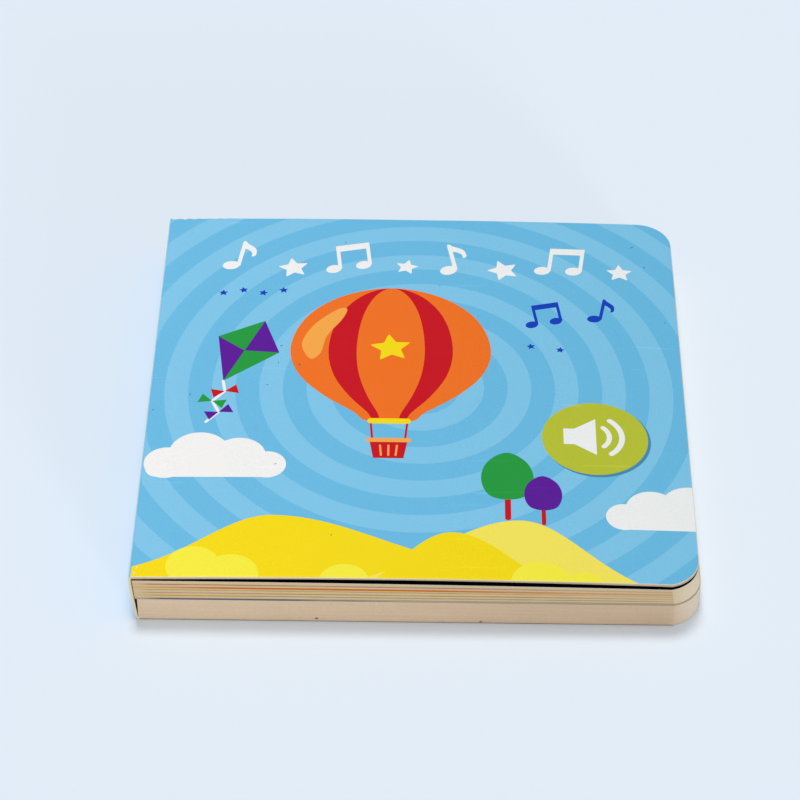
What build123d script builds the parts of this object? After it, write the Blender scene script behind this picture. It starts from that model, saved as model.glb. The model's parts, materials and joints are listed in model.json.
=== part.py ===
from build123d import *
import math
import os

# A square children's board book with a sound module in its thick back block.
# The book lies on its back cover: +Z up, +X from the spine to the fore edge,
# +Y from the tail (bottom edge) to the head (top edge). The origin is the
# centre of the footprint, on the surface the book lies on. Millimetres.

# ---- the book
FORE = 90.2           # the front cover's fore edge; the spine fold reaches about -90.0
BACK_OUT = 1.3        # the back block and its card stand out past the front cover by this much
LEAF_OUT = 0.8        # and the leaves by this much
D = 182.5             # tail to head
R_CORNER = 12.0       # die-cut fore-edge corners
TAIL_CORNER_DROP = 11.6   # the tail corner was cut 0.4 mm low, which leaves a slight kink in the outline
CARD = 0.8            # the wrap: one folded card, spine strip and back cover
BLOCK_TOP = 9.0       # top of the thick back block
BLOCK_LEFT = -87.6    # spine side of the back block
LINING = 0.65         # last sheet, glued down on the block
PAGES_LEFT = -89.0    # spine side of the top leaf; the leaves step in to the block's side below
PAGES_TOP = (17.20, 17.05, 15.80)     # top of the leaves at the spine, at x = -20 and at the fore edge: they are crowned a little
LEAVES = 6
GROOVE = 0.12         # open line between two leaves
GROOVE_DEEP = 0.3
COVER_T = 1.0         # front cover: the wrap's card with the first sheet glued inside
COVER_UNDER = (17.90, 18.60, 17.10)   # its under face at the spine, at x = -15 and at the fore edge: it is slightly crowned

# ---- spine strip: a shallow arc from the top fold to the bottom fold
HINGE_X, HINGE_Z = -89.6, 18.4
COVER_LEFT = HINGE_X + 0.55
SPINE_MID = (-88.80, 8.0)
SPINE_FOOT = (-88.1, 1.1)

# ---- sound module, z levels
TRAY_Z0, TRAY_Z1 = CARD, 5.6
FLOOR_Z = 1.6
PCB_T = 0.8
PCB_ROOM = 7.35       # ceiling of the room above the circuit board
PCB_X0, PCB_X1, PCB_Y0, PCB_Y1 = -62.0, 74.0, -48.0, 52.0
CLEAR = 0.3
MY = -22.0            # the row of speaker, cells and switch
SPK_X = -28.0
SPK_R = 18.0
CELL_R, CELL_H = 5.8, 3.05      # AG10 / LR1130
CELL_X = (7.6, 20.0, 32.4)
CONTACT_T = 0.25
DOOR_X0, DOOR_X1, DOOR_HALF = 0.0, 48.4, 7.6
DOOR_Z0, DOOR_T = 0.25, 1.2
SCREW_X = 44.5
SWITCH_X = 60.3
BUTTONS = ((-44.0, 34.0), (6.0, 40.0), (56.0, 30.0), (-50.0, -6.0), (18.0, 8.0), (62.0, -4.0))
BUTTON_R, BUTTON_TRAVEL = 1.7, 0.25


def box(x0, x1, y0, y1, z0, z1):
    return Pos((x0 + x1) / 2, (y0 + y1) / 2, (z0 + z1) / 2) * Box(x1 - x0, y1 - y0, z1 - z0)


def rounded(x0, x1, y0, y1, z0, z1, r):
    face = Pos((x0 + x1) / 2, (y0 + y1) / 2, z0) * RectangleRounded(x1 - x0, y1 - y0, r)
    return extrude(face, amount=z1 - z0)


def cyl(x, y, z0, z1, r):
    return Pos(x, y, (z0 + z1) / 2) * Cylinder(r, z1 - z0)


def stadium(x0, x1, y, half, z0, z1):
    """A slot with round ends, x0 and x1 being the centres of the ends."""
    return cyl(x0, y, z0, z1, half) + cyl(x1, y, z0, z1, half) + box(x0, x1, y - half, y + half, z0, z1)


def outline(left, inset, z0, z1, out=0.0):
    """The book's trimmed shape as a prism: square at the spine, round at the fore edge."""
    fore, tail, head = FORE + out - inset, -D / 2 + inset, D / 2 - inset
    r = R_CORNER - inset
    cx = FORE + out - R_CORNER
    cy = -D / 2 + TAIL_CORNER_DROP
    drop = TAIL_CORNER_DROP - inset
    sx = cx + math.sqrt(r * r - drop * drop)
    am = -math.asin(drop / r) / 2
    hy = D / 2 - R_CORNER
    k = math.sqrt(0.5)
    edges = [
        Line((left, tail), (sx, tail)),
        ThreePointArc((sx, tail), (cx + r * math.cos(am), cy + r * math.sin(am)), (fore, cy)),
        Line((fore, cy), (fore, hy)),
        ThreePointArc((fore, hy), (cx + r * k, hy + r * k), (cx, head)),
        Line((cx, head), (left, head)),
        Line((left, head), (left, tail)),
    ]
    return Pos(0, 0, z0) * extrude(Face(Wire(edges)), amount=z1 - z0, dir=(0, 0, 1))


def along_y(edges, half=D / 2 + 2):
    """A closed section in XZ, run along Y."""
    return extrude(Face(Wire(edges)), amount=half, dir=(0, 1, 0), both=True)


def lathe(x, y, section):
    """A closed (radius, z) section turned about the vertical line through x, y."""
    p = [(r, 0, z) for r, z in section]
    face = Face(Wire([Line(p[i], p[(i + 1) % len(p)]) for i in range(len(p))]))
    return Pos(x, y, 0) * revolve(face, axis=Axis.Z, revolution_arc=360)


def circle_through(p, q, r):
    ax, ay, bx, by, cx, cy = *p, *q, *r
    d = 2 * (ax * (by - cy) + bx * (cy - ay) + cx * (ay - by))
    ux = ((ax * ax + ay * ay) * (by - cy) + (bx * bx + by * by) * (cy - ay) + (cx * cx + cy * cy) * (ay - by)) / d
    uy = ((ax * ax + ay * ay) * (cx - bx) + (bx * bx + by * by) * (ax - cx) + (cx * cx + cy * cy) * (bx - ax)) / d
    return ux, uy, math.hypot(ax - ux, ay - uy)


parts = {}

# ---- front cover: a crowned board
z0, zm, z1 = COVER_UNDER
x0, xm, x1 = COVER_LEFT, -15.0, FORE
xo = x1 + 1
cx_, cz_, cr_ = circle_through((x0, z0), (xm, zm), (x1, z1))


def under(x, up=0.0):
    """Height of the crowned board's under face at x, or of a face above it."""
    s = 1 if cz_ < z0 else -1
    return cz_ + s * math.sqrt(cr_ * cr_ - (x - cx_) ** 2) + up


cover_edges = [
    ThreePointArc((x0, 0, under(x0)), (xm, 0, under(xm)), (xo, 0, under(xo))),
    Line((xo, 0, under(xo)), (xo, 0, under(xo, COVER_T))),
    ThreePointArc((xo, 0, under(xo, COVER_T)), (xm, 0, under(xm, COVER_T)), (x0, 0, under(x0, COVER_T))),
    Line((x0, 0, under(x0, COVER_T)), (x0, 0, under(x0))),
]
parts["front_cover"] = along_y(cover_edges) & outline(-95, 0, 10, 25)

# ---- spine strip and back cover: one card, folded at the foot of the spine
sx_, sz_, sr_ = circle_through((HINGE_X, HINGE_Z), SPINE_MID, SPINE_FOOT)
h = CARD / 2
a_top = math.atan2(HINGE_Z - sz_, HINGE_X - sx_)
a_foot = math.atan2(SPINE_FOOT[1] - sz_, SPINE_FOOT[0] - sx_)
if a_top < 0:
    a_top += 2 * math.pi
if a_foot < 0:
    a_foot += 2 * math.pi
theta = a_foot - math.pi                                   # how far the strip leans in at its foot
fold_mid_r = (SPINE_FOOT[1] - h) / (1 - math.sin(theta))
fold_c = (SPINE_FOOT[0] + fold_mid_r * math.cos(theta), SPINE_FOOT[1] + fold_mid_r * math.sin(theta))


def spine(a, t):
    """A point on the strip: t is 0 on its middle line, +h outside, -h inside."""
    return (sx_ + (sr_ + t) * math.cos(a), 0, sz_ + (sr_ + t) * math.sin(a))


def fold(a, t):
    return (fold_c[0] + (fold_mid_r + t) * math.cos(a), 0, fold_c[1] + (fold_mid_r + t) * math.sin(a))


a_half = (a_top + a_foot) / 2
a_down = 1.5 * math.pi
a_fold = (a_foot + a_down) / 2
up_dir = (math.cos(a_top - math.pi / 2), math.sin(a_top - math.pi / 2))
if up_dir[1] < 0:
    up_dir = (-up_dir[0], -up_dir[1])
tip = (HINGE_X + up_dir[0] * h, 0, HINGE_Z + up_dir[1] * h)
wrap_edges = [
    ThreePointArc(spine(a_top, h), tip, spine(a_top, -h)),
    ThreePointArc(spine(a_top, -h), spine(a_half, -h), spine(a_foot, -h)),
    ThreePointArc(fold(a_foot, -h), fold(a_fold, -h), fold(a_down, -h)),
    Line(fold(a_down, -h), (FORE + 3, 0, CARD)),
    Line((FORE + 3, 0, CARD), (FORE + 3, 0, 0)),
    Line((FORE + 3, 0, 0), fold(a_down, h)),
    ThreePointArc(fold(a_down, h), fold(a_fold, h), fold(a_foot, h)),
    ThreePointArc(spine(a_foot, h), spine(a_half, h), spine(a_top, h)),
]
wrap = along_y(wrap_edges) & outline(-95, 0, -1, 25, BACK_OUT)
# windows in the back cover: battery door, switch, and the sound holes
wrap -= rounded(DOOR_X0 - 0.6, DOOR_X1 + 0.6, MY - DOOR_HALF - 0.6, MY + DOOR_HALF + 0.6, -1, 1, 1.5)
wrap -= rounded(SWITCH_X - 6.3, SWITCH_X + 6.3, MY - 5.0, MY + 5.0, -1, 1, 2.0)
SOUND_HOLES = [(0.0, 0.0)]
SOUND_HOLES += [(5.0 * math.cos(math.radians(60 * i)), 5.0 * math.sin(math.radians(60 * i))) for i in range(6)]
SOUND_HOLES += [(10.0 * math.cos(math.radians(30 * i)), 10.0 * math.sin(math.radians(30 * i))) for i in range(12)]
for hx, hy in SOUND_HOLES:
    wrap -= cyl(SPK_X + hx, MY + hy, -1, 1, 1.2)
parts["spine_and_back_cover"] = wrap

# ---- the leaves: one solid, with the open lines between them on the three cut edges
px, pxm, pxo = PAGES_LEFT, -20.0, FORE + 3
pcx, pcz, pcr = circle_through((px, PAGES_TOP[0]), (pxm, PAGES_TOP[1]), (FORE, PAGES_TOP[2]))


def pages_z(x, share=1.0):
    """Height of the leaves at x: share 0 is the lining sheet's top, 1 the top leaf's."""
    s = 1 if pcz < PAGES_TOP[0] else -1
    top = pcz + s * math.sqrt(pcr * pcr - (x - pcx) ** 2)
    base = BLOCK_TOP + LINING
    return base + (top - base) * share


def arc_at(share, dz, back=False):
    pts = [(x, 0, pages_z(x, share) + dz) for x in (px - 1, pxm, pxo)]
    pts = pts[::-1] if back else pts
    return ThreePointArc(*pts) if share > 0 else Line(pts[0], pts[2])


pages = along_y([
    Line((BLOCK_LEFT, 0, BLOCK_TOP), (pxo, 0, BLOCK_TOP)),
    Line((pxo, 0, BLOCK_TOP), (pxo, 0, pages_z(pxo))),
    ThreePointArc((pxo, 0, pages_z(pxo)), (pxm, 0, pages_z(pxm)), (px, 0, pages_z(px))),
    Line((px, 0, pages_z(px)), (BLOCK_LEFT, 0, BLOCK_TOP)),
])
pages &= outline(-95, 0.1, 0, 25, LEAF_OUT)
inner = outline(-96, 0.1 + GROOVE_DEEP, 0, 25, LEAF_OUT)
for i in range(LEAVES):
    s = i / LEAVES
    lo, hi = arc_at(s, -GROOVE / 2 + 0.03), arc_at(s, GROOVE / 2 + 0.03, back=True)
    slab = along_y([lo, Line(lo @ 1, hi @ 0), hi, Line(hi @ 1, lo @ 0)])
    pages -= slab - inner
parts["page_block"] = pages

# ---- back block: laminated board, die-cut for the sound module
block = outline(BLOCK_LEFT, 0, CARD, BLOCK_TOP, BACK_OUT)
# its lower spine edge is pressed round by the card
press = along_y([
    ThreePointArc(spine(a_half, -h - 0.02), spine((a_half + a_foot) / 2, -h - 0.02), spine(a_foot, -h - 0.02)),
    ThreePointArc(fold(a_foot, -h - 0.02), fold(a_fold, -h - 0.02), fold(a_down, -h - 0.02)),
    Line(fold(a_down, -h - 0.02), (fold_c[0], 0, -1)),
    Line((fold_c[0], 0, -1), (-95, 0, -1)),
    Line((-95, 0, -1), (-95, 0, spine(a_half, 0)[2])),
    Line((-95, 0, spine(a_half, 0)[2]), spine(a_half, -h - 0.02)),
])
block -= press
block -= rounded(PCB_X0 - CLEAR, PCB_X1 + CLEAR, PCB_Y0 - CLEAR, PCB_Y1 + CLEAR, TRAY_Z1, PCB_ROOM, 3.3)
for bx, by in BUTTONS:
    block -= cyl(bx, by, TRAY_Z1 + 1, BLOCK_TOP + 1, BUTTON_R + 0.3)
BOX_X0, BOX_X1, BOX_HALF = -12.0, 53.0, 9.0
SW_X1, SW_HALF = 68.6, 6.6
block -= cyl(SPK_X, MY, 0, TRAY_Z1 + 1, SPK_R + 1.6 + CLEAR)
block -= box(BOX_X0, BOX_X1 + CLEAR, MY - BOX_HALF - CLEAR, MY + BOX_HALF + CLEAR, 0, TRAY_Z1 + 1)
block -= box(BOX_X1 - 1, SW_X1 + CLEAR, MY - SW_HALF - CLEAR, MY + SW_HALF + CLEAR, 0, TRAY_Z1 + 1)
parts["back_block"] = block

# ---- module tray: speaker well, cell slot and switch well in one moulding
tray = cyl(SPK_X, MY, TRAY_Z0, TRAY_Z1, SPK_R + 1.6)
tray += box(BOX_X0, BOX_X1, MY - BOX_HALF, MY + BOX_HALF, TRAY_Z0, TRAY_Z1)
tray += box(BOX_X1 - 1, SW_X1, MY - SW_HALF, MY + SW_HALF, TRAY_Z0, TRAY_Z1)
tray -= cyl(SPK_X, MY, FLOOR_Z, TRAY_Z1 + 1, SPK_R + 0.3)
for hx, hy in SOUND_HOLES:
    tray -= cyl(SPK_X + hx, MY + hy, 0, 3, 1.0)
door_top = DOOR_Z0 + DOOR_T
tray -= box(DOOR_X0 - 0.15, DOOR_X1 + 0.15, MY - DOOR_HALF - 0.15, MY + DOOR_HALF + 0.15, 0, door_top)
tray -= stadium(CELL_X[0], CELL_X[-1], MY, CELL_R + 0.2, 1, TRAY_Z1 + 1)
tray -= box(CELL_X[-1] + 5.0, CELL_X[-1] + 7.2, MY - 2.2, MY + 2.2, 1, TRAY_Z1 + 1)
HOOK_Z0, HOOK_Z1 = 1.85, 2.4
tray -= box(-2.1, 1.5, MY - 3.25, MY + 3.25, HOOK_Z0 - 0.05, HOOK_Z1 + 0.2)
tray -= box(-0.15, 1.5, MY - 3.25, MY + 3.25, 1, HOOK_Z1 + 0.2)
tray -= cyl(SCREW_X, MY, 1, 5.0, 0.8)
tray -= box(SWITCH_X - 4.5, SWITCH_X + 4.5, MY - 2.05, MY + 2.05, 2.6, TRAY_Z1 + 1)
tray -= box(SWITCH_X - 2.6, SWITCH_X + 2.6, MY - 1.3, MY + 1.3, 0, 4)
tray -= box(SWITCH_X - 5.2, SWITCH_X + 5.2, MY - 3.6, MY + 3.6, 0, 1.5)
BOARD_SCREWS = [(-6.0, MY - 6.4), (-6.0, MY + 6.4), (50.4, MY - 6.4), (50.4, MY + 6.4)]
for sx, sy in BOARD_SCREWS:
    tray -= cyl(sx, sy, 2.4, TRAY_Z1 + 1, 0.7)
parts["module_tray"] = tray

# ---- battery door, held by one hook and one screw
door = rounded(DOOR_X0, DOOR_X1, MY - DOOR_HALF, MY + DOOR_HALF, DOOR_Z0, door_top, 0.9)
door += box(0.0, 1.2, MY - 3, MY + 3, door_top - 0.2, HOOK_Z1)
door += box(-1.8, 0.6, MY - 3, MY + 3, HOOK_Z0, HOOK_Z1)
door -= cyl(SCREW_X, MY, 0, 3, 1.1)
door -= cyl(SCREW_X, MY, 0, 1.05, 2.15)
for gx in (5.0, 7.0, 9.0, 11.0):
    door -= box(gx - 0.4, gx + 0.4, MY - 4, MY + 4, 0, DOOR_Z0 + 0.3)
parts["battery_door"] = door

screw = lathe(SCREW_X, MY, [(0, 0.35), (1.6, 0.35), (1.9, 0.55), (1.9, 1.05), (0.8, 1.05), (0.8, 4.2), (0, 4.9)])
screw -= box(SCREW_X - 1.1, SCREW_X + 1.1, MY - 0.18, MY + 0.18, 0, 0.75)
screw -= box(SCREW_X - 0.18, SCREW_X + 0.18, MY - 1.1, MY + 1.1, 0, 0.75)
parts["door_screw"] = screw

# ---- three button cells in series, turned alternately, and their contacts
low0, low1 = door_top, door_top + CONTACT_T
cell_z0 = low1
for i, cx in enumerate(CELL_X):
    up = i % 2 == 0            # the wide can's flat side is up on the first and third
    can = (cell_z0 + 0.25, cell_z0 + CELL_H) if up else (cell_z0, cell_z0 + CELL_H - 0.25)
    cap = (cell_z0, cell_z0 + 0.3) if up else (cell_z0 + CELL_H - 0.3, cell_z0 + CELL_H)
    parts[f"button_cell_{i + 1}"] = cyl(cx, MY, can[0], can[1], CELL_R) + cyl(cx, MY, cap[0], cap[1], 4.9)
top0, top1 = cell_z0 + CELL_H, cell_z0 + CELL_H + CONTACT_T
parts["contact_link_lower"] = box(CELL_X[0] - 4, CELL_X[1] + 4, MY - 3.4, MY + 3.4, low0, low1)
negative = box(CELL_X[2] - 4, CELL_X[2] + 7.0, MY - 1.9, MY + 1.9, low0, low1)
negative += box(CELL_X[2] + 6.7, CELL_X[2] + 7.0, MY - 1.9, MY + 1.9, low0, TRAY_Z1)
parts["contact_negative"] = negative
positive = box(CELL_X[0] - 4, CELL_X[0] + 4, MY - 2.4, MY + 2.4, top0, top1)
positive += box(CELL_X[0] - 4, CELL_X[0] - 3.7, MY - 2.4, MY + 2.4, top0, TRAY_Z1)
parts["contact_positive"] = positive
link = box(CELL_X[1] - 4, CELL_X[2] + 4, MY - 3.4, MY + 3.4, top0, top1)
link += box(CELL_X[1] - 4, CELL_X[1] - 3.7, MY - 3.4, MY + 3.4, top0, TRAY_Z1)
link += box(CELL_X[2] + 3.7, CELL_X[2] + 4, MY - 3.4, MY + 3.4, top0, TRAY_Z1)
parts["contact_link_upper"] = link

# ---- circuit board, chip, board screws
pcb_top = TRAY_Z1 + PCB_T
pcb = rounded(PCB_X0, PCB_X1, PCB_Y0, PCB_Y1, TRAY_Z1, pcb_top, 3.0)
for sx, sy in BOARD_SCREWS:
    pcb -= cyl(sx, sy, TRAY_Z1 - 1, pcb_top + 1, 1.0)
parts["circuit_board"] = pcb
parts["sound_chip"] = lathe(-40.0, 10.0, [(0, pcb_top), (4.5, pcb_top), (4.2, pcb_top + 0.35), (3.0, pcb_top + 0.65), (0, pcb_top + 0.8)])
screws = None
for sx, sy in BOARD_SCREWS:
    s = lathe(sx, sy, [(0, 2.6), (0.7, 3.2), (0.7, pcb_top), (1.6, pcb_top), (1.6, pcb_top + 0.45), (1.1, pcb_top + 0.75), (0, pcb_top + 0.75)])
    screws = s if screws is None else screws + s
parts["board_screws"] = screws

# ---- six press points: a switch base on the board and its button
bases = None
for i, (bx, by) in enumerate(BUTTONS):
    b = box(bx - 3, bx + 3, by - 3, by + 3, pcb_top, pcb_top + 0.8) - cyl(bx, by, pcb_top + 0.1, 10, BUTTON_R + 0.1)
    bases = b if bases is None else bases + b
    parts[f"press_button_{i + 1}"] = cyl(bx, by, pcb_top + 0.15 + BUTTON_TRAVEL, BLOCK_TOP - 0.05, BUTTON_R)
parts["press_switch_bases"] = bases

# ---- on/off slide switch
body = box(SWITCH_X - 4.3, SWITCH_X + 4.3, MY - 1.85, MY + 1.85, 2.8, TRAY_Z1)
body -= box(SWITCH_X - 2.4, SWITCH_X + 2.4, MY - 1.1, MY + 1.1, 2, 4.3)
parts["slide_switch_body"] = body
parts["slide_switch_knob"] = box(SWITCH_X - 2.2, SWITCH_X - 0.2, MY - 0.9, MY + 0.9, 0.9, 4.1)

# ---- speaker
parts["speaker_frame"] = lathe(SPK_X, MY, [(15.2, 1.6), (18.0, 1.6), (18.0, 2.1), (15.9, 2.1), (9.2, 4.4), (0, 4.4), (0, 4.05), (8.9, 4.05), (15.2, 1.9)])
parts["speaker_magnet"] = cyl(SPK_X, MY, 4.4, TRAY_Z1 - 0.1, 7.0)
parts["speaker_cone"] = lathe(SPK_X, MY, [(0, 2.1), (5.6, 2.7), (7.1, 3.1), (13.6, 1.9), (15.1, 1.65), (15.1, 1.8), (13.6, 2.05), (7.1, 3.25), (5.6, 2.85), (0, 2.25)])
parts["voice_coil"] = lathe(SPK_X, MY, [(6.5, 3.3), (6.9, 3.3), (6.9, 4.0), (6.5, 4.0)])


def lead(points, radii, r=0.35):
    path = FilletPolyline(*points, radius=radii)
    start = Plane(origin=path @ 0, z_dir=path % 0)
    return sweep(start * Circle(r), path=path)


def at(angle, r, z):
    return (SPK_X + r * math.cos(math.radians(angle)), MY + r * math.sin(math.radians(angle)), z)


parts["speaker_lead_red"] = lead([at(35, 12.5, 3.5), at(35, 12.5, 4.6), at(80, 12.5, 4.6), at(80, 12.5, TRAY_Z1)], [0.45, 0.45])
parts["speaker_lead_black"] = lead([at(-35, 12.5, 3.5), at(-35, 12.5, 4.6), at(-80, 12.5, 4.6), at(-80, 12.5, TRAY_Z1)], [0.45, 0.45])

os.makedirs("parts", exist_ok=True)
for name, shape in parts.items():
    export_step(shape, f"parts/{name}.step")
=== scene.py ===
import json
import math
import random

import bpy
from mathutils import Matrix, Vector, noise
from mathutils.geometry import delaunay_2d_cdt


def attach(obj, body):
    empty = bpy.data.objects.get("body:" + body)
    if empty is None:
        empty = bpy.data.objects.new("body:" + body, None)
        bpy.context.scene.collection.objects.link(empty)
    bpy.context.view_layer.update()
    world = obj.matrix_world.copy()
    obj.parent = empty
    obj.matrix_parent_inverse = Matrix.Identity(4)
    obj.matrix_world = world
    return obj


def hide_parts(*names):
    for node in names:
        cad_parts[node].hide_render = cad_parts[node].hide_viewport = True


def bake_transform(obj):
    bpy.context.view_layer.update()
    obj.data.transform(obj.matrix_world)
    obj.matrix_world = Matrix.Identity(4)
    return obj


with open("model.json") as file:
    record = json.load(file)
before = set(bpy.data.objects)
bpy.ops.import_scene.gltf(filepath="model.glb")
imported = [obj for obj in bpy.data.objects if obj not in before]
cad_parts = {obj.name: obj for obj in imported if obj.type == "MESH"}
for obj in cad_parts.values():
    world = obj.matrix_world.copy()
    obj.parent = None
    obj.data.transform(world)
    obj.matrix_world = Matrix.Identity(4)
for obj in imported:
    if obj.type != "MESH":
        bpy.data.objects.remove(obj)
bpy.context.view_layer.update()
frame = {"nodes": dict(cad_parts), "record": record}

MM = 0.001
FORE, HALF = 90.2, 91.25          # fore edge's x, half the height of the page, mm
R_CORNER, DROP = 12.0, 11.6
COVER_LEFT = -89.05
COVER_T = 1.0
BACK_OUT = 1.3                    # how far the back block stands out past the cover
LEAF_OUT_LOW, LEAF_OUT_TOP = 1.05, 0.0     # and the lowest and the top leaf: they slant
BLOCK_TOP, LINING_TOP = 9.0, 9.78
LEAVES = 6


# ------------------------------------------------------------------ shapes of the book, in millimetres
def circle_through(p, q, r):
    (ax, ay), (bx, by), (cx, cy) = p, q, r
    d = 2 * (ax * (by - cy) + bx * (cy - ay) + cx * (ay - by))
    ux = ((ax * ax + ay * ay) * (by - cy) + (bx * bx + by * by) * (cy - ay) + (cx * cx + cy * cy) * (ay - by)) / d
    uy = ((ax * ax + ay * ay) * (cx - bx) + (bx * bx + by * by) * (ax - cx) + (cx * cx + cy * cy) * (bx - ax)) / d
    return ux, uy, math.hypot(ax - ux, ay - uy)


cover_c = circle_through((COVER_LEFT, 17.90), (-15.0, 18.60), (FORE, 17.10))
page_c = circle_through((-89.0, 17.15), (-20.0, 17.02), (FORE, 15.78))
page_side = 1 if page_c[1] < 17.0 else -1


def cover_top(x, y=0.0):
    return cover_c[1] + math.sqrt(cover_c[2] ** 2 - (x - cover_c[0]) ** 2) + COVER_T


def cover_under(x, y=0.0):
    """The board is pressed a little thinner in the middle than at its two long edges."""
    return cover_top(x) - (0.84 + 0.30 * ((x + 5.0) / 90.0) ** 2)


def page_top(x, share=1.0):
    top = page_c[1] + page_side * math.sqrt(page_c[2] ** 2 - (x - page_c[0]) ** 2)
    return LINING_TOP + (top - LINING_TOP) * share


def outline(left, inset=0.0, out=0.0):
    """The trimmed shape, anticlockwise from the tail's spine end: (x, y, on the corner or not)."""
    fore, tail, head = FORE + out - inset, -HALF + inset, HALF - inset
    r = R_CORNER - inset
    cx, cy, hy = FORE + out - R_CORNER, -HALF + DROP, HALF - R_CORNER
    drop = DROP - inset
    sx = cx + math.sqrt(max(r * r - drop * drop, 0))
    pts = []

    def line(a, b, n):
        for i in range(n):
            t = i / n
            pts.append((a[0] + (b[0] - a[0]) * t, a[1] + (b[1] - a[1]) * t, 0))

    line((left, tail), (sx, tail), 85)
    a0 = -math.asin(drop / r)
    n = 22
    for i in range(n):
        a = a0 * (1 - i / n)
        pts.append((cx + r * math.cos(a), cy + r * math.sin(a), 1))
    line((fore, cy), (fore, hy), 80)
    for i in range(n):
        a = math.pi / 2 * i / n
        pts.append((cx + r * math.cos(a), hy + r * math.sin(a), 1))
    line((cx, head), (left, head), 84)
    line((left, head), (left, tail), 91)
    return pts


# ------------------------------------------------------------------ mesh helpers
def add_mesh(name, verts, faces, mats, index=None, smooth=False, sharp=35):
    me = bpy.data.meshes.new(name)
    me.from_pydata([(x * MM, y * MM, z * MM) for x, y, z in verts], [], faces)
    for m in mats:
        me.materials.append(m)
    if index:
        me.polygons.foreach_set("material_index", index)
    me.validate()
    me.update()
    ob = bpy.data.objects.new(name, me)
    bpy.context.scene.collection.objects.link(ob)
    if smooth:
        me.shade_smooth()
        if sharp:
            me.set_sharp_from_angle(angle=math.radians(sharp))
    return ob


class Build:
    """Gathers walls, caps and strips of one piece into one mesh."""

    def __init__(self):
        self.v, self.f, self.m, self.mats = [], [], [], []

    def mat(self, m):
        if m not in self.mats:
            self.mats.append(m)
        return self.mats.index(m)

    def add(self, verts, faces, mat):
        base = len(self.v)
        self.v += verts
        for i, f in enumerate(faces):
            self.f.append(tuple(base + k for k in f))
            self.m.append(self.mat(mat[i] if isinstance(mat, list) else mat))

    def wall(self, rings, mats, flip=False, corner=None):
        """rings: lists of points of one length, lowest first and anticlockwise, joined round; mats: one for each band between two rings.
        corner: (flags, {mat: mat}) swaps a band's material on the rounded corners."""
        n = len(rings[0])
        verts = [p for r in rings for p in r]
        faces, ms = [], []
        for k in range(len(rings) - 1):
            for i in range(n):
                j = (i + 1) % n
                f = (k * n + i, k * n + j, (k + 1) * n + j, (k + 1) * n + i)
                faces.append(f[::-1] if flip else f)
                m = mats[k]
                if corner and corner[0][i] and m in corner[1]:
                    m = corner[1][m]
                ms.append(m)
        self.add(verts, faces, ms)

    def cap(self, print_, zf, up=True):
        """print_: (points, triangles, materials) in plan; zf gives the height."""
        pts, tris, ms = print_
        self.add([(x, y, zf(x, y)) for x, y in pts], [t if up else t[::-1] for t in tris], ms)

    def make(self, name, **kw):
        ob = add_mesh(name, self.v, self.f, self.mats, self.m, **kw)
        return ob


def weld(ob, dist=1e-6):
    import bmesh
    bm = bmesh.new()
    bm.from_mesh(ob.data)
    bmesh.ops.remove_doubles(bm, verts=bm.verts, dist=dist)
    bm.to_mesh(ob.data)
    bm.free()


def area(p):
    return sum(p[i][0] * p[(i + 1) % len(p)][1] - p[(i + 1) % len(p)][0] * p[i][1] for i in range(len(p))) / 2


def lay_print(edge, ground, layers, holes=(), grid=7.0, extra=()):
    """Flat print as geometry. edge: the sheet's outline. layers: (polygon, material), lowest first. holes: polygons cut out.
    Returns points, triangles and a material for each triangle."""
    polys = [(edge, ground)] + list(layers) + [(h, None) for h in holes]
    verts, faces, mats = [], [], []
    for p, m in polys:
        p = p if area(p) > 0 else p[::-1]
        base = len(verts)
        verts += [Vector(q) for q in p]
        faces.append(list(range(base, len(verts))))
        mats.append(m)
    if grid:
        xs = [q[0] for q in edge]
        ys = [q[1] for q in edge]
        nx = int((max(xs) - min(xs)) / grid)
        ny = int((max(ys) - min(ys)) / grid)
        for i in range(1, nx):
            for j in range(1, ny):
                verts.append(Vector((min(xs) + (max(xs) - min(xs)) * i / nx + 0.013 * (j % 3), min(ys) + (max(ys) - min(ys)) * j / ny)))
    out_v, _, out_f, _, _, orig = delaunay_2d_cdt(verts, [], faces, 0, 1e-5)
    tris, ms = [], []
    for t, o in zip(out_f, orig):
        o = set(o)
        if 0 not in o:
            continue
        m = mats[max(o)]
        if m is None:
            continue
        if area([out_v[k] for k in t]) < 0:
            t = t[::-1]
        tris.append(tuple(t))
        ms.append(m)
    used = sorted({k for t in tris for k in t})
    remap = {k: i for i, k in enumerate(used)}
    return [(out_v[k].x, out_v[k].y) for k in used], [tuple(remap[k] for k in t) for t in tris], ms


# ------------------------------------------------------------------ outlines for the print
def disc(x, y, r, ry=None, turn=0.0, n=72):
    ry = r if ry is None else ry
    c, s = math.cos(math.radians(turn)), math.sin(math.radians(turn))
    out = []
    for i in range(n):
        a = 2 * math.pi * i / n
        u, v = r * math.cos(a), ry * math.sin(a)
        out.append((x + u * c - v * s, y + u * s + v * c))
    return out


def smooth(points, n=9):
    """A closed Catmull-Rom line through the points."""
    out = []
    k = len(points)
    for i in range(k):
        p0, p1, p2, p3 = (points[(i + j - 1) % k] for j in range(4))
        for s in range(n):
            t = s / n
            out.append(tuple(
                0.5 * (2 * p1[a] + (p2[a] - p0[a]) * t + (2 * p0[a] - 5 * p1[a] + 4 * p2[a] - p3[a]) * t * t
                       + (3 * p1[a] - p0[a] - 3 * p2[a] + p3[a]) * t ** 3) for a in (0, 1)))
    return out


def place(shape, x, y, size=1.0, turn=0.0):
    c, s = math.cos(math.radians(turn)), math.sin(math.radians(turn))
    return [(x + size * (u * c - v * s), y + size * (u * s + v * c)) for u, v in shape]


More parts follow.
